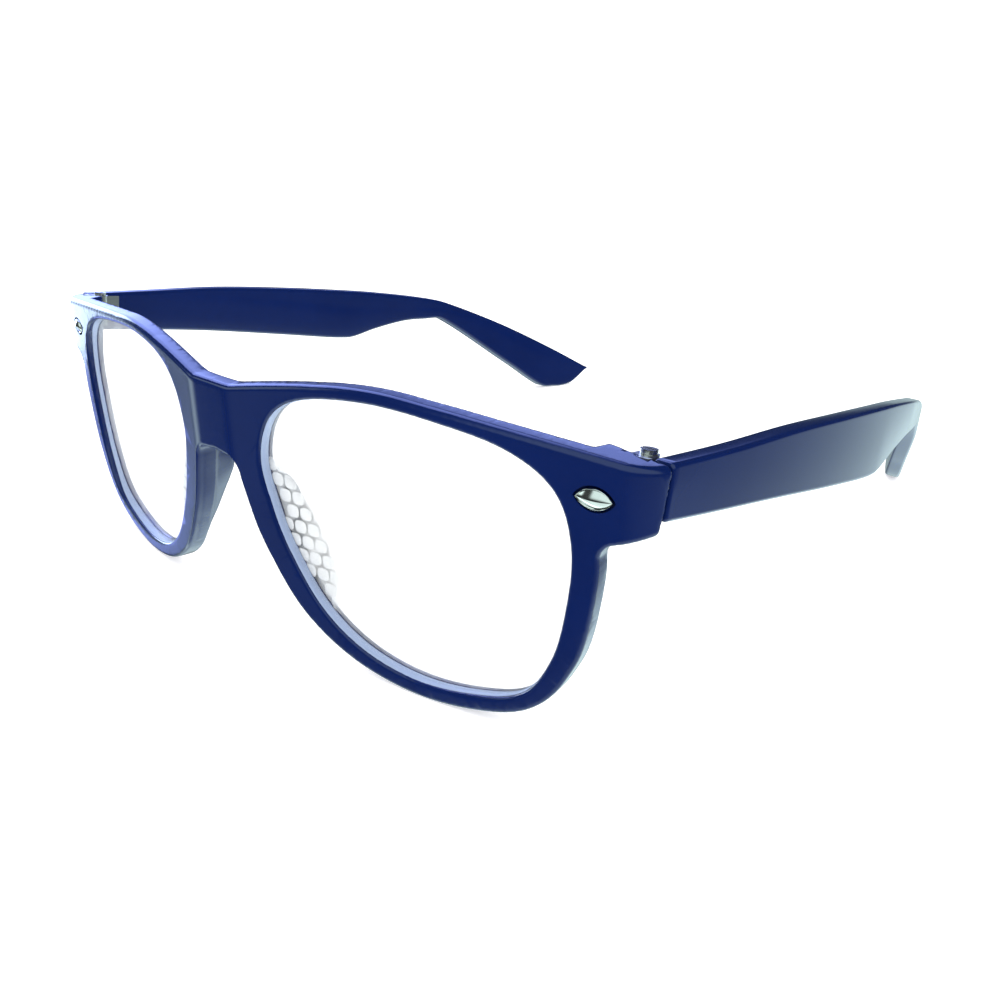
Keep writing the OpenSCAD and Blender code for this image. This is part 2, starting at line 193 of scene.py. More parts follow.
# Smooth closed and open curves through a few points
def bend(a, b, c, d, t):
    return 0.5 * (2 * b + (c - a) * t + (2 * a - 5 * b + 4 * c - d) * t * t
                  + (3 * b - a - 3 * c + d) * t ** 3)


def closed_curve(points, steps):
    p = [np.array(q, float) for q in points]
    k = len(p)
    return np.array([bend(p[i - 1], p[i], p[(i + 1) % k], p[(i + 2) % k], j / steps)
                     for i in range(k) for j in range(steps)])


def open_curve(points, steps):
    p = [np.array(q, float) for q in points]
    k = len(p)
    row = [bend(p[max(i - 1, 0)], p[i], p[i + 1], p[min(i + 2, k - 1)], j / steps)
           for i in range(k - 1) for j in range(steps)]
    return np.array(row + [p[-1]])


# Height of an open curve at a place along it
def height_at(points, s):
    i = 0
    while i < len(points) - 2 and s > points[i + 1][0]:
        i += 1
    a = points[max(i - 1, 0)]
    b = points[i]
    c = points[i + 1]
    d = points[min(i + 2, len(points) - 1)]
    w = c[0] - b[0]
    t = (s - b[0]) / w
    slope_in = (c[1] - b[1]) / w if i == 0 else (c[1] - a[1]) / (c[0] - a[0])
    slope_out = (c[1] - b[1]) / w if i >= len(points) - 2 else (d[1] - b[1]) / (d[0] - b[0])
    return (b[1] * (2 * t ** 3 - 3 * t * t + 1) + slope_in * w * (t ** 3 - 2 * t * t + t)
            + c[1] * (3 * t * t - 2 * t ** 3) + slope_out * w * (t ** 3 - t * t))


# Distance from points to a closed outline, negative inside
def outline_distance(points, outline):
    best = np.full(len(points), 1e9)
    inside = np.zeros(len(points), bool)
    for a, b in zip(outline, np.roll(outline, -1, axis=0)):
        edge = b - a
        length = edge @ edge
        if length < 1e-12:
            continue
        away = points - a
        along = np.clip(away @ edge / length, 0, 1)
        gap = away - along[:, None] * edge
        best = np.minimum(best, (gap * gap).sum(1))
        crosses = (a[1] > points[:, 1]) != (b[1] > points[:, 1])
        if a[1] != b[1]:
            side = a[0] + (points[:, 1] - a[1]) * edge[0] / edge[1]
            inside ^= crosses & (points[:, 0] < side)
    return np.where(inside, -1, 1) * np.sqrt(best)


# A table of an outline's distances, read between its places
class DistanceTable:
    def __init__(self, measure, low, high, step=0.2):
        self.low = np.array(low, float)
        self.step = step
        self.count = np.ceil((np.array(high) - self.low) / step).astype(int) + 1
        lines = [self.low[i] + step * np.arange(self.count[i]) for i in range(2)]
        u, v = np.meshgrid(*lines, indexing="ij")
        self.value = measure(np.stack([u.ravel(), v.ravel()], 1)).reshape(u.shape)

    def __call__(self, u, v):
        last = self.count - 1.001
        x = np.clip((u - self.low[0]) / self.step, 0, last[0])
        y = np.clip((v - self.low[1]) / self.step, 0, last[1])
        i = x.astype(int)
        j = y.astype(int)
        x = x - i
        y = y - j
        t = self.value
        return ((t[i, j] * (1 - x) + t[i + 1, j] * x) * (1 - y)
                + (t[i, j + 1] * (1 - x) + t[i + 1, j + 1] * x) * y)


# Distance to several outlines taken as one, with the hollows between them rounded out
def filleted_distance(points, outlines, r, spacing=0.25, turns=48, slack=0.002):
    angles = np.arange(turns) * 2 * math.pi / turns
    circle = r * np.array([[math.cos(t), math.sin(t)] for t in angles])
    rim = []
    for outline in outlines:
        for a, b in zip(outline, np.roll(outline, -1, axis=0)):
            run = b - a
            length = np.hypot(*run)
            if length < 1e-6:
                continue
            share = np.arange(0, length, spacing)[:, None] / length
            away = np.array([-run[1], run[0]]) / length * r
            rim += [a + share * run + away, a + share * run - away, a + circle]
    rim = np.concatenate(rim)
    rim = rim[np.min([outline_distance(rim, o) for o in outlines], axis=0) > r - slack]
    plain = np.min([outline_distance(points, o) for o in outlines], axis=0)
    near = (plain > -1) & (plain < r)
    nearest = np.full(near.sum(), 1e9)
    for x, z in rim:
        nearest = np.minimum(nearest, (points[near, 0] - x) ** 2 + (points[near, 1] - z) ** 2)
    plain[near] = r - np.sqrt(nearest)
    return plain


# Union with a fillet, and intersection with a rounded edge
def fuse(a, b, r):
    return np.maximum(r, np.minimum(a, b)) - np.hypot(np.maximum(r - a, 0), np.maximum(r - b, 0))


def meet(a, b, r):
    return np.minimum(-r, np.maximum(a, b)) + np.hypot(np.maximum(r + a, 0), np.maximum(r + b, 0))


# Points and four-sided faces of the surface on which a field is zero
def surface_of(field, low, high, step):
    axes = [np.arange(low[i], high[i] + step, step) for i in range(3)]
    shape = [len(a) for a in axes]
    value = np.empty(shape, np.float32)
    for i, x in enumerate(axes[0]):
        y, z = np.meshgrid(axes[1], axes[2], indexing="ij")
        value[i] = field(np.stack([np.full(y.size, x), y.ravel(), z.ravel()], 1)).reshape(y.shape)
    inside = value < 0
    corners = [(i, j, k) for i in (0, 1) for j in (0, 1) for k in (0, 1)]

    def at(array, c):
        return array[c[0]:shape[0] - 1 + c[0], c[1]:shape[1] - 1 + c[1], c[2]:shape[2] - 1 + c[2]]

    filled = sum(at(inside, c).astype(int) for c in corners)
    active = (filled > 0) & (filled < 8)
    number = np.full(active.shape, -1)
    number[active] = np.arange(active.sum())
    cell = np.argwhere(active)
    total = np.zeros((len(cell), 3))
    weight = np.zeros(len(cell))
    for a in corners:
        for b in corners:
            if sum(b) - sum(a) != 1 or any(b[i] < a[i] for i in range(3)):
                continue
            va = value[tuple((cell + a).T)]
            vb = value[tuple((cell + b).T)]
            cut = (va < 0) != (vb < 0)
            share = np.where(cut, va / np.where(cut, va - vb, 1), 0)
            place = np.array(a) + share[:, None] * (np.array(b) - np.array(a))
            total += place * cut[:, None]
            weight += cut
    points = np.array(low) + (cell + total / weight[:, None]) * step
    faces = []
    for axis in range(3):
        solid = np.moveaxis(inside, axis, 0)
        name = np.moveaxis(number, axis, 0)
        i, j, k = np.nonzero((solid[:-1] != solid[1:])[:, 1:-1, 1:-1])
        j = j + 1
        k = k + 1
        ring = np.stack([name[i, j - 1, k - 1], name[i, j, k - 1], name[i, j, k], name[i, j - 1, k]], 1)
        turn = ~solid[i, j, k] if axis != 1 else solid[i, j, k]
        ring[turn] = ring[turn][:, ::-1]
        faces.append(ring)
    faces = np.concatenate(faces)
    return settle(points, faces, field), faces


# Evens out the mesh and sets its points on the surface itself
def settle(points, faces, field, probe=0.02, flattest=0.2):
    for turn in range(4):
        if turn:
            total = np.zeros_like(points)
            count = np.zeros(len(points))
            for a in range(4):
                np.add.at(total, faces[:, a], points[faces[:, (a + 1) % 4]])
                np.add.at(total, faces[:, a], points[faces[:, a - 1]])
                np.add.at(count, faces[:, a], 2)
            points = points * 0.5 + total / count[:, None] * 0.5
        for _ in range(2):
            ways = np.eye(3) * probe
            slope = np.stack([field(points + e) - field(points - e) for e in ways], 1) / (2 * probe)
            size = np.maximum((slope * slope).sum(1), flattest)
            points = points - slope * (field(points) / size)[:, None]
    return points


# A mesh object from points in millimetres, whose Y is measured from the bridge face
def mesh_piece(name, points, faces, smooth=True):
    place = np.array(points, float) * MM
    place[:, 1] += front_y * MM
    mesh = bpy.data.meshes.new(name)
    mesh.from_pydata(place.tolist(), [], [tuple(int(i) for i in f) for f in faces])
    mesh.validate()
    mesh.update()
    if smooth:
        mesh.shade_smooth()
    piece = bpy.data.objects.new(name, mesh)
    bpy.context.scene.collection.objects.link(piece)
    return piece


# Outline of the lens opening, as shares of its width and height
lens_shape = [[-0.002, 0.711], [0.047, 0.875], [0.167, 0.965], [0.384, 1], [0.611, 0.985], [0.819, 0.943],
              [0.951, 0.845], [0.998, 0.671], [0.986, 0.452], [0.947, 0.256], [0.861, 0.093], [0.704, 0.019],
              [0.516, -0.003], [0.335, 0.046], [0.189, 0.168], [0.08, 0.367], [0.025, 0.538]]
lens_curve = closed_curve([[lens_from_bridge + x * lens_width, z * lens_height] for x, z in lens_shape], 10)
lens_points = lens_curve + [0, rim_bottom - lens_curve[:, 1].min()]
lens_top = rim_bottom + lens_height
lens_run = np.roll(lens_points, -1, axis=0) - np.roll(lens_points, 1, axis=0)
lens_out = np.stack([-lens_run[:, 1], lens_run[:, 0]], 1) / np.hypot(*lens_run.T)[:, None]


# Width of the rim, from the direction in which it lies
def rim_at(out):
    up = (out[:, 1] + 1) / 2
    level = rim_bottom * (1 - up) + rim_top * up
    nose = level + (rim_nose - level) * out[:, 0] ** 2
    side = level + (rim_side - level) * out[:, 0] ** 6
    return np.where(out[:, 0] < 0, nose, side)


rim_points = lens_points + lens_out * rim_at(lens_out)[:, None]
# The rim's nasal edge, from its lower end up
nasal = (lens_out[:, 0] < -0.25) & (lens_points[:, 1] < bridge_bottom + 3)
nose_z, nose_u = rim_points[nasal][np.argsort(rim_points[nasal][:, 1])].T[::-1]
brow_top = lens_top + rim_top
# The top edge from the bridge to the end piece, and the bar below it that joins the rims and the ends
brow_points = open_curve([
    [0, bridge_top],
    [half_length * 0.12, bridge_top + 0.43 * (brow_top - bridge_top)],
    [half_length * 0.25, bridge_top + 0.81 * (brow_top - bridge_top)],
    [half_length * 0.4, brow_top],
    [half_length * 0.53, brow_top - 0.09 * (brow_top - end_top)],
    [half_length * 0.7, brow_top - 0.41 * (brow_top - end_top)],
    [half_length * 0.85, brow_top - 0.7 * (brow_top - end_top)],
    [half_length, end_top]], 8)
bar_points = np.array([
    [-12, bridge_top], *brow_points, [half_length + 3, end_top - 0.1],
    [half_length + 3, end_bottom + 0.4], [half_length - 3.4, end_bottom - 2],
    [lens_end, end_bottom - 4], [lens_from_bridge + 8, end_bottom - 4],
    [lens_from_bridge + 1, bridge_bottom - 1], [0, bridge_bottom],
    [-crease, bridge_bottom + 0.5], [-12, bridge_bottom + 1]])


def outer_measure(points):
    return filleted_distance(points, [rim_points, bar_points], end_fillet)


# Distance to the end piece and its hinge block, seen from above
def plan_measure(points):
    back = joint_depth + 3
    inner = joint_out - block_width
    outline = np.array([[half_width - 14, corner_depth - 14 * math.tan(wrap)], [half_width, corner_depth],
                        [joint_out, joint_depth], [joint_out + 0.5, back], [inner, back],
                        [inner - 1.2, corner_depth + 0.2]])
    sharp = outline_distance(points, outline)
    # The front corner is rounded by the two planes that make it
    face = np.array([math.sin(wrap), -math.cos(wrap)])
    side = np.array([joint_depth - corner_depth, -end_flare])
    side = side / np.hypot(*side)
    away = points - [half_width, corner_depth]
    return np.maximum(sharp, meet(away @ face, away @ side, corner_round))


table_low = [-9, -4]
table_high = [half_length + 6, 49]
outer_table = DistanceTable(outer_measure, table_low, table_high)
lens_table = DistanceTable(lambda p: outline_distance(p, lens_points), table_low, table_high)
plan_table = DistanceTable(plan_measure, [half_width - 20, -3], [joint_out + 4, joint_depth + 6])

# Depth of the nose pads and the place of their outer corner beside the rim's nasal edge, up the rim
pad_reach_curve = [[9, 2.4], [12, 3.3], [14, 4.1], [16, 4.8], [18, 5.4], [20, 6.1], [22, 6.9], [24.5, 7.6],
                   [27, 6.6], [29, 4], [31, 2.2]]
pad_corner_curve = [[9, 2.2], [12, 3.4], [14, 3.8], [18, 4.3], [22, 4.5], [27, 4.2], [29, 3], [31, 2]]
pad_levels = np.linspace(9, 31, 120)
pad_reach = [height_at(pad_reach_curve, z) for z in pad_levels]
pad_corner = [height_at(pad_corner_curve, z) for z in pad_levels]


# Distance back from the joint, along the arm
def behind_joint(y, z):
    return (y - joint_depth) * math.cos(arm_slope) - (z - joint_level) * math.sin(arm_slope)


# The moulded front as one field: plate, end pieces and nose pads, less the lens openings
def front_field(p):
    across = np.abs(p[:, 0])
    x = across - crease
    y = p[:, 1]
    z = p[:, 2]
    # Distance out along the slanted half, and depth behind its face
    u = x * math.cos(wrap) + y * math.sin(wrap)
    w = -x * math.sin(wrap) + y * math.cos(wrap)
    outer = outer_table(u, z)
    face = np.maximum(-y, -w) + np.maximum(crease_soft - np.abs(w - y), 0) ** 2 / (4 * crease_soft)
    back = fuse(y - plate_thick, w - plate_thick, back_soft)
    plate = np.maximum(np.maximum(face, back), u - half_length + plate_short)
    block = np.maximum(plan_table(across, y), end_bottom - block_drop - z)
    shown = (w < plate_thick / 2) | (across > half_width - end_zone)
    rounding = np.where(shown, np.interp(z, round_levels, [edge_round, front_edge_round]), edge_round)
    solid = meet(np.minimum(plate, block), outer, rounding)
    solid = meet(solid, -lens_table(u, z), lens_edge_round)
    squared = meet(solid, behind_joint(y, z) + joint_gap / 2, joint_round)
    solid = np.where((across > joint_out - joint_zone) & (z > joint_floor), squared, solid)
    lift = np.maximum(np.sin(np.pi * np.clip((z - pad_height) / pad_length + 0.5, 0, 1) ** pad_rise), 0)
    reach = np.interp(z, pad_levels, pad_reach)
    lean = pad_spread * lift ** 0.5
    wall = np.interp(z, pad_levels, pad_corner) - lean - pad_step
    spread = pad_step + lean * np.clip((w - plate_thick) / np.maximum(reach - plate_thick, 0.5), 0, 1)
    deep = (np.abs(u - np.interp(z, nose_z, nose_u) - spread - wall / 2) - wall / 2) * pad_slope
    pad = meet(deep, w - reach, pad_round)
    pad = np.maximum(pad, np.maximum(u - lens_end / 2, plate_thick - pad_root - w))
    pad = np.maximum(pad, np.abs(z - pad_height) - pad_length / 2 - pad_margin)
    return fuse(solid, pad, pad_fillet)


# A place on the slanted half of the front, from its distance out, its depth and its height
def on_front(side, u, w, z):
    x = crease + u * math.cos(wrap) - w * math.sin(wrap)
    return [side * x, u * math.sin(wrap) + w * math.cos(wrap), z]


# Half the height of the stud's outline, at a distance from its middle
def stud_edge(a, grow=0):
    half = stud_length / 2 + grow
    tall = stud_height / 2 + grow
    radius = (half * half + tall * tall) / (2 * tall)
    return max(math.sqrt(max(radius * radius - a * a, 0)) - (radius - tall), 0)


# The hollow in the front that the stud is pressed into
def stud_hollow(side, steps=28):
    half = stud_length / 2 + stud_play
    along = [half * -math.cos(math.pi * i / steps) for i in range(steps + 1)]
    ring = [(a, stud_edge(a, stud_play)) for a in along]
    ring += [(a, -stud_edge(a, stud_play)) for a in along[-2:0:-1]]
    n = len(ring)
    places = [on_front(side, lens_end + stud_from_lens + a, w, stud_level + b)
              for w in (-1, stud_well) for a, b in ring]
    faces = [list(range(n)), list(range(2 * n - 1, n - 1, -1))]
    faces += [[(i + 1) % n, i, i + n, (i + 1) % n + n] for i in range(n)]
    if side > 0:
        faces = [f[::-1] for f in faces]
    return mesh_piece("stud_hollow", places, faces, False)


def build_front():
    high = [joint_out + 1.2, joint_depth + 2, 46.5]
    low = [-high[0], -1.1, -1]
    points, faces = surface_of(front_field, low, high, grid_step)
    piece = mesh_piece("front_shell", points, faces)
    piece.modifiers.new("trim", "DECIMATE").ratio = 0.5
    cutters = [stud_hollow(side) for side in (1, -1)]
    for cutter in cutters:
        cut = piece.modifiers.new("cut", "BOOLEAN")
        cut.operation = "DIFFERENCE"
        cut.solver = "EXACT"
        cut.object = cutter
    bpy.context.view_layer.update()
    carved = bpy.data.meshes.new_from_object(piece.evaluated_get(bpy.context.evaluated_depsgraph_get()))
    piece.modifiers.clear()
    piece.data = carved
    for cutter in cutters:
        bpy.data.objects.remove(cutter)
    carved.shade_smooth()
    carved.set_sharp_from_angle(angle=math.radians(65))
    piece.modifiers.new("even_shading", "WEIGHTED_NORMAL").keep_sharp = True
    return piece


# How far the arm has turned in towards the head: an even bow, then a steeper turn behind the ear
def arm_inset(s):
    a = min(s, ear_bend_at)
    b = max(min(s - ear_bend_at, ear_bend_length), 0)
    c = max(s - ear_bend_at - ear_bend_length, 0)
    return (a * a / (2 * arm_bow_radius) + (s - a) * ear_bend_at / arm_bow_radius
            + math.tan(ear_bend) * (b * b / (2 * ear_bend_length) + c))


# Where the tip touches the table, measured from the joint
foot_at = arm_length * 0.95
foot_reach = (joint_gap / 2 + foot_at * math.cos(arm_splay)
              + (arm_inset(foot_at) + arm_thick - arm_round) * math.sin(arm_splay))
foot_drop = (joint_level - foot_reach * math.sin(arm_slope)) / math.cos(arm_slope)
tip_level = arm_tip_height * 0.58 - foot_drop
arm_waist_top = root * 0.9
arm_broad_low = root * 1.34 - arm_broad_height
arm_waist_low = arm_waist_top - arm_waist_height


def near_foot(along, up):
    return [foot_at + along * arm_length, up + along * arm_length * math.tan(arm_slope) - foot_drop]


# Upper and lower edges of the arm: distances along it, and heights above its middle at the joint
arm_top = [
    [0, root],
    [arm_length * 0.1, root * 1.15],
    [arm_length * 0.225, root * 1.38],
    [arm_broad_at - arm_length * 0.115, root * 1.405],
    [arm_broad_at, root * 1.34],
    [arm_waist_at - arm_length * 0.13, root * 1.257],
    [arm_waist_at - arm_length * 0.03, arm_waist_top + root * 0.12],
    [arm_waist_at + arm_length * 0.022, arm_waist_top - root * 0.14],
    [arm_waist_at + arm_length * 0.135, arm_waist_top - root * 1.46],
    [arm_length * 0.918, arm_tip_height - foot_drop + root * 0.28],
    [arm_length, tip_level]]
arm_low = [
    [0, -root],
    [arm_length * 0.19, -root * 1.21],
    [arm_broad_at - arm_length * 0.125, arm_broad_low + root * 0.27],
    [arm_broad_at - arm_length * 0.03, arm_broad_low + root * 0.04],
    [arm_broad_at, arm_broad_low],
    [arm_broad_at + arm_length * 0.026, arm_broad_low + root * 0.05],
    [arm_broad_at + arm_length * 0.075, arm_broad_low + root * 0.62],
    [arm_waist_at - arm_length * 0.067, arm_waist_low - root * 0.24],
    [arm_waist_at - arm_length * 0.023, arm_waist_low - root * 0.07],
    [arm_waist_at + arm_length * 0.022, arm_waist_low - root * 0.09],
    near_foot(-0.107, arm_tip_height * 0.785),
    near_foot(-0.04, arm_tip_height * 0.07),
    near_foot(-0.018, arm_tip_height * 0.02),
    near_foot(0, 0),
    near_foot(0.022, arm_tip_height * 0.08),
    [arm_length, tip_level - arm_tip_height * 0.03]]

# Rings of the arm: at the root, with how far each draws in, and between the foot and the tip, as shares
root_rings = [(0, 0.35), (0.08, 0.18), (0.22, 0.06), (0.4, 0)]
tip_shares = [0.1, 0.2, 0.3, 0.4, 0.5, 0.6, 0.7, 0.78, 0.85, 0.91, 0.96, 0.985]


# One ring of the arm, a slab with round long edges, and the ring's middle
def arm_ring(s, shrink, steps=5):
    top = height_at(arm_top, s) - shrink
    low = height_at(arm_low, s) + shrink
    out = -arm_inset(s)
    r = min(arm_edge_round, (top - low) * 0.49)
    corners = ((-r, top - r, 0), (r - arm_thick, top - r, 90),
               (r - arm_thick, low + r, 180), (-r, low + r, 270))
    ring = []
    for x, z, start in corners:
        for j in range(steps + 1):
            angle = math.radians(start + 90 * j / steps)
            ring.append([x + r * math.cos(angle), z + r * math.sin(angle)])
    ring = np.array(ring)
    ring[:, 0] = -arm_thick / 2 + (ring[:, 0] + arm_thick / 2) * (1 - 2 * shrink / arm_thick)
    middle = np.array([out - arm_thick / 2, s, (top + low) / 2])
    return np.array([[out + q[0], s, q[1]] for q in ring]), middle


def build_arm(side, name):
    body_rings = [(s, 0) for s in np.arange(1.2, foot_at, 1.0)]
    tip_rings = [(foot_at + share * (arm_length - foot_at), 0) for share in tip_shares]
    rings = [arm_ring(s, shrink) for s, shrink in root_rings + body_rings + tip_rings]
    n = len(rings[0][0])
    points = [rings[0][1]] + [p for ring, _ in rings for p in ring] + [rings[-1][1]]
    last = len(points) - 1
    faces = [[0, 1 + i, 1 + (i + 1) % n] for i in range(n)]
    for j in range(len(rings) - 1):
        for i in range(n):
            a = 1 + j * n + i
            b = 1 + j * n + (i + 1) % n
            faces.append([a, a + n, b + n, b])
    faces += [[last, last - n + (i + 1) % n, last - n + i] for i in range(n)]
    p = np.array(points)
    x = joint_out + p[:, 0] * math.cos(arm_splay) + p[:, 1] * math.sin(arm_splay)
    back = joint_gap / 2 - p[:, 0] * math.sin(arm_splay) + p[:, 1] * math.cos(arm_splay)
    y = joint_depth + back * math.cos(arm_slope) + p[:, 2] * math.sin(arm_slope)
    z = joint_level - back * math.sin(arm_slope) + p[:, 2] * math.cos(arm_slope)
    if side < 0:
        faces = [f[::-1] for f in faces]
    return mesh_piece(name, np.stack([side * x, y, z], 1), faces)


# The stud: an eye-shaped cap with a raised lip and a long ridge between two slopes
def build_stud(side, name, along=36):
    half = stud_length / 2
    shares = [1, 0.97, 0.93, 0.88, 0.82, 0.7, 0.55, 0.4, 0.28, 0.18, 0.1, 0.04]
    shares = shares + [0] + [-b for b in reversed(shares)]
    points = []
    for i in range(along + 1):
        a = -half * math.cos(math.pi * i / along)
        edge = stud_edge(a)
        crest = stud_ridge * max(1 - (a / half) ** 2, 0) ** ridge_end_power
        for b in shares:
            ridge = crest * (1 - min(abs(b) / ridge_share, 1) ** ridge_side_power)
            lip = lip_height * max(1 - ((abs(b) - lip_share) / lip_half) ** 2, 0)
            points.append((a, b * edge, stud_sink - ridge - lip))
    row = len(shares)
    faces = [[i * row + j, i * row + j + 1, (i + 1) * row + j + 1, (i + 1) * row + j]
             for i in range(along) for j in range(row - 1)]
    count = len(points)
    points += [(a, b, stud_recess + stud_sink) for a, b, _ in points]
    faces += [[b + count, a + count, d + count, c + count] for a, b, c, d in faces]
    rim = [(i * row, (i + 1) * row) for i in range(along)]
    rim += [((i + 1) * row + row - 1, i * row + row - 1) for i in range(along)]
    faces += [[a, b, b + count, a + count] for a, b in rim]
    place = [on_front(side, lens_end + stud_from_lens + a, w, stud_level + b) for a, b, w in points]
    piece = mesh_piece(name, place, faces)
    merge = bmesh.new()
    merge.from_mesh(piece.data)
    bmesh.ops.remove_doubles(merge, verts=merge.verts, dist=0.000001)
    bmesh.ops.recalc_face_normals(merge, faces=merge.faces)
    merge.to_mesh(piece.data)
    merge.free()
    piece.data.shade_smooth()
    piece.data.set_sharp_from_angle(angle=math.radians(60))
    return piece


# How fully the film's net shows at a place, from 0 to 1
def net_share(u, z):
    out = (crease + u * math.cos(wrap) - net_edge + net_lean * (z - net_level)) / net_wide
    return min(max(2 - 2 * out * out - 2 * ((z - net_level) / net_tall) ** 2, 0), 1)


# The film's cells beside the nose: low round pillows in rows, each row set over by half a cell
def build_cells(side, name):
    turns = np.arange(20) * 2 * math.pi / 20
    # Rings of a pillow, as shares of its width and heights above the film
    levels = [(1, 0), (1, 0.03), (0.85, 0.07), (0.5, 0.09)]
    n = len(turns)
    points = []
    faces = []
    for row in range(math.ceil(lens_height / cell_tall) + 1):
        z = rim_bottom + row * cell_tall
        for column in range(math.ceil(lens_width / cell_wide) + 1):
            u = lens_from_bridge + (column + row % 2 / 2) * cell_wide
            near = net_share(u, z)
            if near == 0 or lens_table(np.array([u]), np.array([z]))[0] > 0:
                continue
            first = len(points)
            gap = cell_gap * (0.3 + 0.7 * near)
            power = 0.3 + 0.4 * near
            shape = np.stack([np.sign(f(turns)) * np.abs(f(turns)) ** power for f in (np.cos, np.sin)], 1)
            shape *= [(cell_wide - gap) / 2, (cell_tall - gap) / 2]
            for share, height in levels:
                p = shape * share + [u, z]
                # A cell at the rim is drawn in to stay inside the opening
                beyond = np.maximum(lens_table(p[:, 0], p[:, 1]) + 0.02, 0)
                lean = np.stack([lens_table(p[:, 0] + a, p[:, 1] + b) - lens_table(p[:, 0] - a, p[:, 1] - b)
                                 for a, b in ((0.1, 0), (0, 0.1))], 1) / 0.2
                p = p - lean * beyond[:, None]
                points += [on_front(side, q[0], film_front + cell_sink - height, q[1]) for q in p]
            points.append(on_front(side, u, film_front - cell_peak, z))
            faces.append([first + i for i in range(n)])
            for j in range(len(levels) - 1):
                a = first + j * n
                faces += [[a + i, a + n + i, a + n + (i + 1) % n, a + (i + 1) % n] for i in range(n)]
            last = first + (len(levels) - 1) * n
            faces += [[last + i, last + n, last + (i + 1) % n] for i in range(n)]
    if side > 0:
        faces = [f[::-1] for f in faces]
    piece = mesh_piece(name, points, faces)
    piece.data.set_sharp_from_angle(angle=math.radians(50))
    return piece


# The lens's own polished edge, which shows pale against the wall of its opening. The ring is real, but its
# pale colour is a painted highlight, standing for the light the edge catches.
def build_lens_edge(side, name):
    # Distances out from the opening, and shares of the way back
    section = [(0.1, 0), (-0.07, 0.1), (-0.12, 0.3), (-0.12, 0.85), (-0.08, 0.97), (0.1, 1)]
    points = []
    for p, out in zip(lens_points, lens_out):
        first = edge_start + edge_slant * max(out[0], 0)
        for away, share in section:
            w = first + share * (edge_end - first)
            points.append(on_front(side, p[0] + out[0] * away, w, p[1] + out[1] * away))
    n = len(lens_points)
    k = len(section)
    faces = [[i * k + j, i * k + (j + 1) % k, (i + 1) % n * k + (j + 1) % k, (i + 1) % n * k + j]
             for i in range(n) for j in range(k)]
    if side < 0:
        faces = [f[::-1] for f in faces]
    return mesh_piece(name, points, faces)


# A new material's tree and shader
def material(name):
    made = bpy.data.materials.new(name)
    made.use_nodes = True
    return made, made.node_tree, made.node_tree.nodes["Principled BSDF"]


def dress(piece, made):
    piece.data.materials.clear()
    piece.data.materials.append(made)


# Noise over the object's own coordinates, which may be stretched along an axis
def noise(tree, scale, detail, stretch=None):
    way = tree.nodes.new("ShaderNodeTexCoord").outputs["Object"]
    if stretch:
        mapping = tree.nodes.new("ShaderNodeMapping")
        mapping.inputs["Scale"].default_value = stretch
        tree.links.new(way, mapping.inputs["Vector"])
        way = mapping.outputs["Vector"]
    texture = tree.nodes.new("ShaderNodeTexNoise")
    texture.inputs["Scale"].default_value = scale
    texture.inputs["Detail"].default_value = detail
    tree.links.new(way, texture.inputs["Vector"])
    return texture.outputs["Fac"]


# Colour between two tones, and roughness between two values, by a noise
def tint(tree, value, dark, pale, low=0, high=1):
    ramp = tree.nodes.new("ShaderNodeValToRGB")
    for stop, colour, place in zip(ramp.color_ramp.elements, (dark, pale), (low, high)):
        stop.color = (*colour, 1)
        stop.position = place
    tree.links.new(value, ramp.inputs["Fac"])
    return ramp.outputs["Color"]


def roughen(tree, shader, value, low, high):
    gloss = tree.nodes.new("ShaderNodeMapRange")
    gloss.inputs["To Min"].default_value = low
    gloss.inputs["To Max"].default_value = high
    tree.links.new(value, gloss.inputs["Value"])
    tree.links.new(gloss.outputs["Result"], shader.inputs["Roughness"])


# Gives the function that adds a math node to a tree, fed by numbers or by other nodes
def calculator(tree):
    def calc(operation, *values):
        node = tree.nodes.new("ShaderNodeMath")
        node.operation = operation
        for socket, value in zip(node.inputs, values):
            if isinstance(value, (int, float)):
                socket.default_value = value
            else:
                tree.links.new(value, socket)
        return node.outputs[0]
    return calc


# Blue moulded plastic: deep pigment, a faint flow pattern, a fine skin and tiny handling marks
def plastic():
    made, tree, shader = material("moulded_blue")
    flow = noise(tree, 60, 3)
    tree.links.new(tint(tree, flow, blue_deep, blue_bright, 0.3, 0.7), shader.inputs["Base Color"])
    roughen(tree, shader, noise(tree, 900, 4), 0.1, 0.17)
    skin = tree.nodes.new("ShaderNodeBump")
    skin.inputs["Strength"].default_value = 0.02
    skin.inputs["Distance"].default_value = 0.0002
    tree.links.new(flow, skin.inputs["Height"])
    tree.links.new(skin.outputs["Normal"], shader.inputs["Normal"])
    shader.inputs["IOR"].default_value = 1.5
    shader.inputs["Specular IOR Level"].default_value = 0.5
    return made


# Metal with a fine turned or brushed grain
def metal(name, colour, rough, stretch):
    made, tree, shader = material(name)
    grain = noise(tree, 800, 3, stretch)
    tree.links.new(tint(tree, grain, [c * 0.82 for c in colour], colour), shader.inputs["Base Color"])
    roughen(tree, shader, grain, rough, rough + 0.1)
    shader.inputs["Metallic"].default_value = 1
    return made


# Clear plastic that shows as a faint veil, with a slight haze
def clear(name, colour, alpha, rough):
    made, tree, shader = material(name)
    haze = noise(tree, 90, 2)
    tree.links.new(tint(tree, haze, [c * 0.96 for c in colour], colour), shader.inputs["Base Color"])
    roughen(tree, shader, haze, rough, rough + 0.04)
    shader.inputs["Alpha"].default_value = alpha
    return made
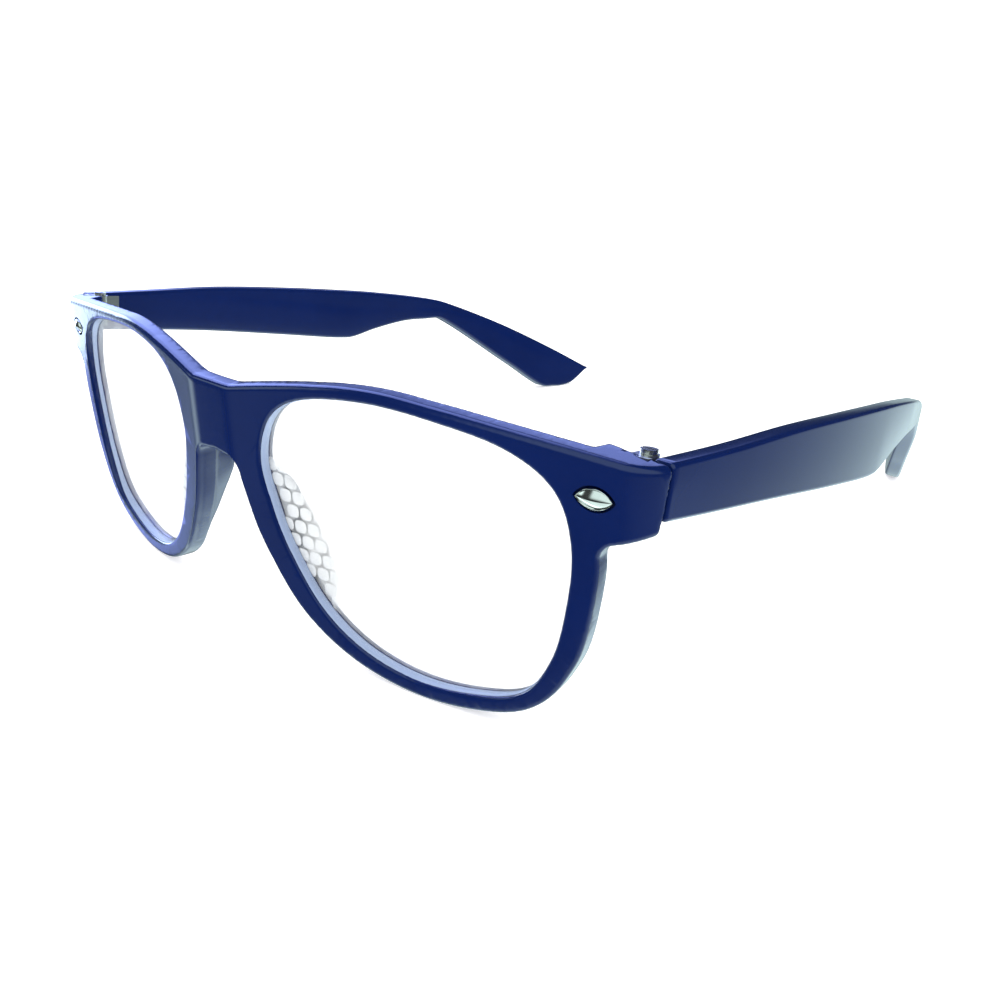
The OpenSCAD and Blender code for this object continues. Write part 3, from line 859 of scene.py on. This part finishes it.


# Film: the same, but denser in the zone beside the nose where its net shows, and darker there, which is
# painted shade
def film(name, alpha, rough, shade, dense):
    made = clear(name, film_colour, alpha, rough)
    tree = made.node_tree
    shader = tree.nodes["Principled BSDF"]
    calc = calculator(tree)
    place = tree.nodes.new("ShaderNodeSeparateXYZ")
    tree.links.new(tree.nodes.new("ShaderNodeTexCoord").outputs["Object"], place.inputs[0])
    high = calc("SUBTRACT", place.outputs[2], net_level * MM)
    out = calc("SUBTRACT", calc("ABSOLUTE", place.outputs[0]), net_edge * MM)
    out = calc("DIVIDE", calc("ADD", out, calc("MULTIPLY", high, net_lean)), net_wide * MM)
    high = calc("DIVIDE", high, net_tall * MM)
    away = calc("ADD", calc("MULTIPLY", out, out), calc("MULTIPLY", high, high))
    near = calc("MULTIPLY", calc("SUBTRACT", 1, away), 2)
    near = calc("MINIMUM", calc("MAXIMUM", near, 0), 1)
    # Painted shade: the base colour is scaled down by the zone's share, so the film is darker beside the nose
    painted_shade_colour = tree.nodes.new("ShaderNodeVectorMath")
    painted_shade_colour.operation = "SCALE"
    tree.links.new(shader.inputs["Base Color"].links[0].from_socket, painted_shade_colour.inputs[0])
    tree.links.new(calc("ADD", calc("MULTIPLY", near, shade - 1), 1), painted_shade_colour.inputs["Scale"])
    tree.links.new(painted_shade_colour.outputs[0], shader.inputs["Base Color"])
    tree.links.new(calc("ADD", calc("MULTIPLY", near, dense - alpha), alpha), shader.inputs["Alpha"])
    return made


# A pale floor that glows a little, so that the shadows on it stay faint
def stage():
    mesh = bpy.data.meshes.new("floor")
    maker = bmesh.new()
    bmesh.ops.create_grid(maker, x_segments=8, y_segments=8, size=3)
    maker.to_mesh(mesh)
    maker.free()
    floor = bpy.data.objects.new("floor", mesh)
    bpy.context.scene.collection.objects.link(floor)
    made, tree, shader = material("pale_floor")
    tree.links.new(tint(tree, noise(tree, 20, 2), floor_dark, floor_pale), shader.inputs["Base Color"])
    shader.inputs["Roughness"].default_value = 1
    shader.inputs["Specular IOR Level"].default_value = 0
    shader.inputs["Emission Color"].default_value = (1, 1, 1, 1)
    shader.inputs["Emission Strength"].default_value = 0.45
    dress(floor, made)
    floor.visible_glossy = False


# One large soft lamp above, which gloss doesn't mirror
def key_light():
    place = Vector((0.1, -0.2, 1.1))
    aim = Vector((0, 0, 0.02))
    lamp = bpy.data.lights.new("key", "AREA")
    lamp.shape = "RECTANGLE"
    lamp.size = 1.2
    lamp.size_y = 1.2
    lamp.energy = 2.5
    piece = bpy.data.objects.new("key", lamp)
    piece.location = place
    piece.rotation_euler = (aim - place).to_track_quat("-Z", "Y").to_euler()
    piece.visible_glossy = False
    bpy.context.scene.collection.objects.link(piece)


# Soft white light all round. What gloss mirrors is a dark room with these lights, placed by the
# direction in which they lie: bright ground behind, a large bluish panel behind on the left, a
# panel and a pane above the front, a light straight below, a bluish light and a glare low on the
# far left, a low gradient round the right side and three low strips on the left.
def world_light():
    world = bpy.data.worlds.new("studio")
    bpy.context.scene.world = world
    world.use_nodes = True
    nodes = world.node_tree.nodes
    links = world.node_tree.links
    calc = calculator(world.node_tree)

    # A fade between two places, from one strength to another
    def ramp(value, low, high, start=0, end=1, soft=True):
        node = nodes.new("ShaderNodeMapRange")
        node.interpolation_type = "SMOOTHSTEP" if soft else "LINEAR"
        links.new(value, node.inputs["Value"])
        for name, setting in (("From Min", low), ("From Max", high), ("To Min", start), ("To Max", end)):
            node.inputs[name].default_value = setting
        return node.outputs["Result"]

    def product(first, *rest):
        for value in rest:
            first = calc("MULTIPLY", first, value)
        return first

    way = nodes.new("ShaderNodeSeparateXYZ")
    links.new(nodes.new("ShaderNodeTexCoord").outputs["Generated"], way.inputs[0])
    x, y, z = way.outputs
    axes = {"x": x, "y": y, "z": z}

    # A region with soft edges: on each axis named, the place where it is dark and where it is full
    def region(strength, **edges):
        return product(*[ramp(axes[axis], *pair) for axis, pair in edges.items()], strength)

    middle = calc("EXPONENT", calc("MULTIPLY", calc("ABSOLUTE", x), -1 / 0.33))
    ground = product(middle, region(1.65, z=(0.02, -0.12), y=(-0.3, 0.3)))
    bands = calc("ADD", ramp(y, 0.42, 0.55, 2.2, 0.35), ramp(y, 0.55, 0.76, 0, 0.9))
    above = calc("ADD", calc("SUBTRACT", z, calc("MULTIPLY", y, 0.6)), 0.32)
    panel = product(region(bands, x=(-0.3, -0.5), y=(-0.08, -0.02)), ramp(above, 0, 0.12))
    front = region(0.85, z=(0.1, 0.45), y=(0.1, -0.2), x=(-0.38, -0.28))
    pane = region(1.1, z=(0.2, 0.35), y=(-0.3, -0.4), x=(-0.62, -0.7))
    under = region(0.85, z=(-0.5, -0.75))
    far = region(1.15, x=(-0.86, -0.93), y=(-0.115, -0.08), z=(-0.25, -0.38))
    glare = region(3.5, x=(-0.93, -0.96), y=(-0.08, -0.06), z=(-0.26, -0.22))
    # Angle round the object, from the front
    turn = calc("ARCTAN2", x, calc("MULTIPLY", y, -1))
    rise = ramp(turn, 0, math.radians(115), soft=False)
    fall = ramp(turn, math.radians(149), math.radians(126))
    side = product(rise, fall, region(0.38, z=(-0.28, -0.36)))
    low = ramp(z, 0.05, -0.1)

    def strip(degrees, half, strength):
        away = calc("DIVIDE", calc("SUBTRACT", turn, math.radians(degrees)), math.radians(half))
        return product(calc("EXPONENT", calc("MULTIPLY", calc("MULTIPLY", away, away), -1)), low, strength)

    strips = [strip(-81, 2.5, 0.5), strip(-70, 5, 1.8), strip(-38, 7, 0.18)]
    white = 0.03
    for part in [ground, front, pane, under, glare, side] + strips:
        white = calc("ADD", part, white)
    bluish = calc("ADD", panel, far)
    colour = nodes.new("ShaderNodeCombineXYZ")
    for socket, blue_tone, white_tone in zip(colour.inputs, (0.8, 1.02, 2.5), (0.93, 1.18, 1.18)):
        links.new(calc("ADD", product(bluish, blue_tone), product(white, white_tone)), socket)
    mirrored = nodes.new("ShaderNodeBackground")
    links.new(colour.outputs[0], mirrored.inputs["Color"])
    around = nodes["Background"]
    around.inputs["Color"].default_value = (1, 1, 1, 1)
    around.inputs["Strength"].default_value = 1.3
    mix = nodes.new("ShaderNodeMixShader")
    links.new(nodes.new("ShaderNodeLightPath").outputs["Is Glossy Ray"], mix.inputs["Fac"])
    links.new(around.outputs[0], mix.inputs[1])
    links.new(mirrored.outputs[0], mix.inputs[2])
    links.new(mix.outputs[0], nodes["World Output"].inputs["Surface"])


def camera():
    eye = Vector((view_eye[0], view_eye[1] + front_y, view_eye[2])) * MM
    level = math.cos(view_elevation)
    back = Vector((math.sin(view_azimuth) * level, -math.cos(view_azimuth) * level, math.sin(view_elevation)))
    right = Vector((math.cos(view_azimuth), math.sin(view_azimuth), 0))
    up = back.cross(right)
    right_rolled = math.cos(view_roll) * right + math.sin(view_roll) * up
    up_rolled = -math.sin(view_roll) * right + math.cos(view_roll) * up
    data = bpy.data.cameras.new("camera")
    data.sensor_width = sensor_width
    data.lens = focal_pixels / frame_pixels * sensor_width
    data.clip_start = 0.01
    data.clip_end = 20
    piece = bpy.data.objects.new("camera", data)
    turn = Matrix((right_rolled, up_rolled, back)).transposed().to_4x4()
    piece.matrix_world = Matrix.Translation(eye) @ turn
    bpy.context.scene.collection.objects.link(piece)
    bpy.context.scene.camera = piece


camera()
stage()
world_light()
key_light()

blue = plastic()
front = build_front()
dress(front, blue)
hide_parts("front_frame")
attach(front, "front")
for side, tag in ((1, "left"), (-1, "right")):
    arm = build_arm(side, "arm_shell_" + tag)
    dress(arm, blue)
    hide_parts("temple_" + tag)
    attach(arm, "arm_" + tag)
    stud = build_stud(side, "stud_cap_" + tag)
    dress(stud, metal("stud_chrome_" + tag, chrome_colour, 0.08, (1, 1, 1)))
    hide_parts("stud_" + tag)
    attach(stud, "front")

steel = metal("hinge_steel", hinge_colour, 0.25, (0.2, 0.2, 3))
bright = metal("screw_steel", screw_colour, 0.18, (1, 1, 1))
veil = clear("lens_clear", lens_colour, 0.05, 0.03)
# Both film materials carry painted shade in the net's zone: the fourth number scales their colour down there
thin = film("film_veil", 0.3, 0.3, 0.72, 0.85)
milky = film("film_cells", 0.15, 0.35, 0.9, 0.8)
# The lens edge's pale bluish colour is a painted highlight
pale = clear("lens_edge", lens_edge_highlight_colour, 0.8, 0.2)
for tag in ("left", "right"):
    for node, made in (("lens_" + tag, veil), ("film_" + tag, thin), ("hinge_front_leaf_" + tag, steel),
                       ("hinge_temple_leaf_" + tag, steel), ("hinge_screw_" + tag, bright)):
        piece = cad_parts[node]
        dress(piece, made)
        if node.startswith("hinge"):
            edge = piece.modifiers.new("broken_edges", "BEVEL")
            edge.width = 0.07 * MM
            edge.segments = 2
            edge.limit_method = "ANGLE"
            edge.angle_limit = math.radians(40)
            edge.harden_normals = False
lens_pieces = ((build_cells, "film_cells_", milky, "diffraction_film"),
               (build_lens_edge, "lens_edge_", pale, "clear_lens"))
for side, tag in ((1, "left"), (-1, "right")):
    for build, name, made, slot in lens_pieces:
        piece = build(side, name + tag)
        dress(piece, made)
        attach(piece, "front")

bpy.context.scene.view_settings.view_transform = "Standard"
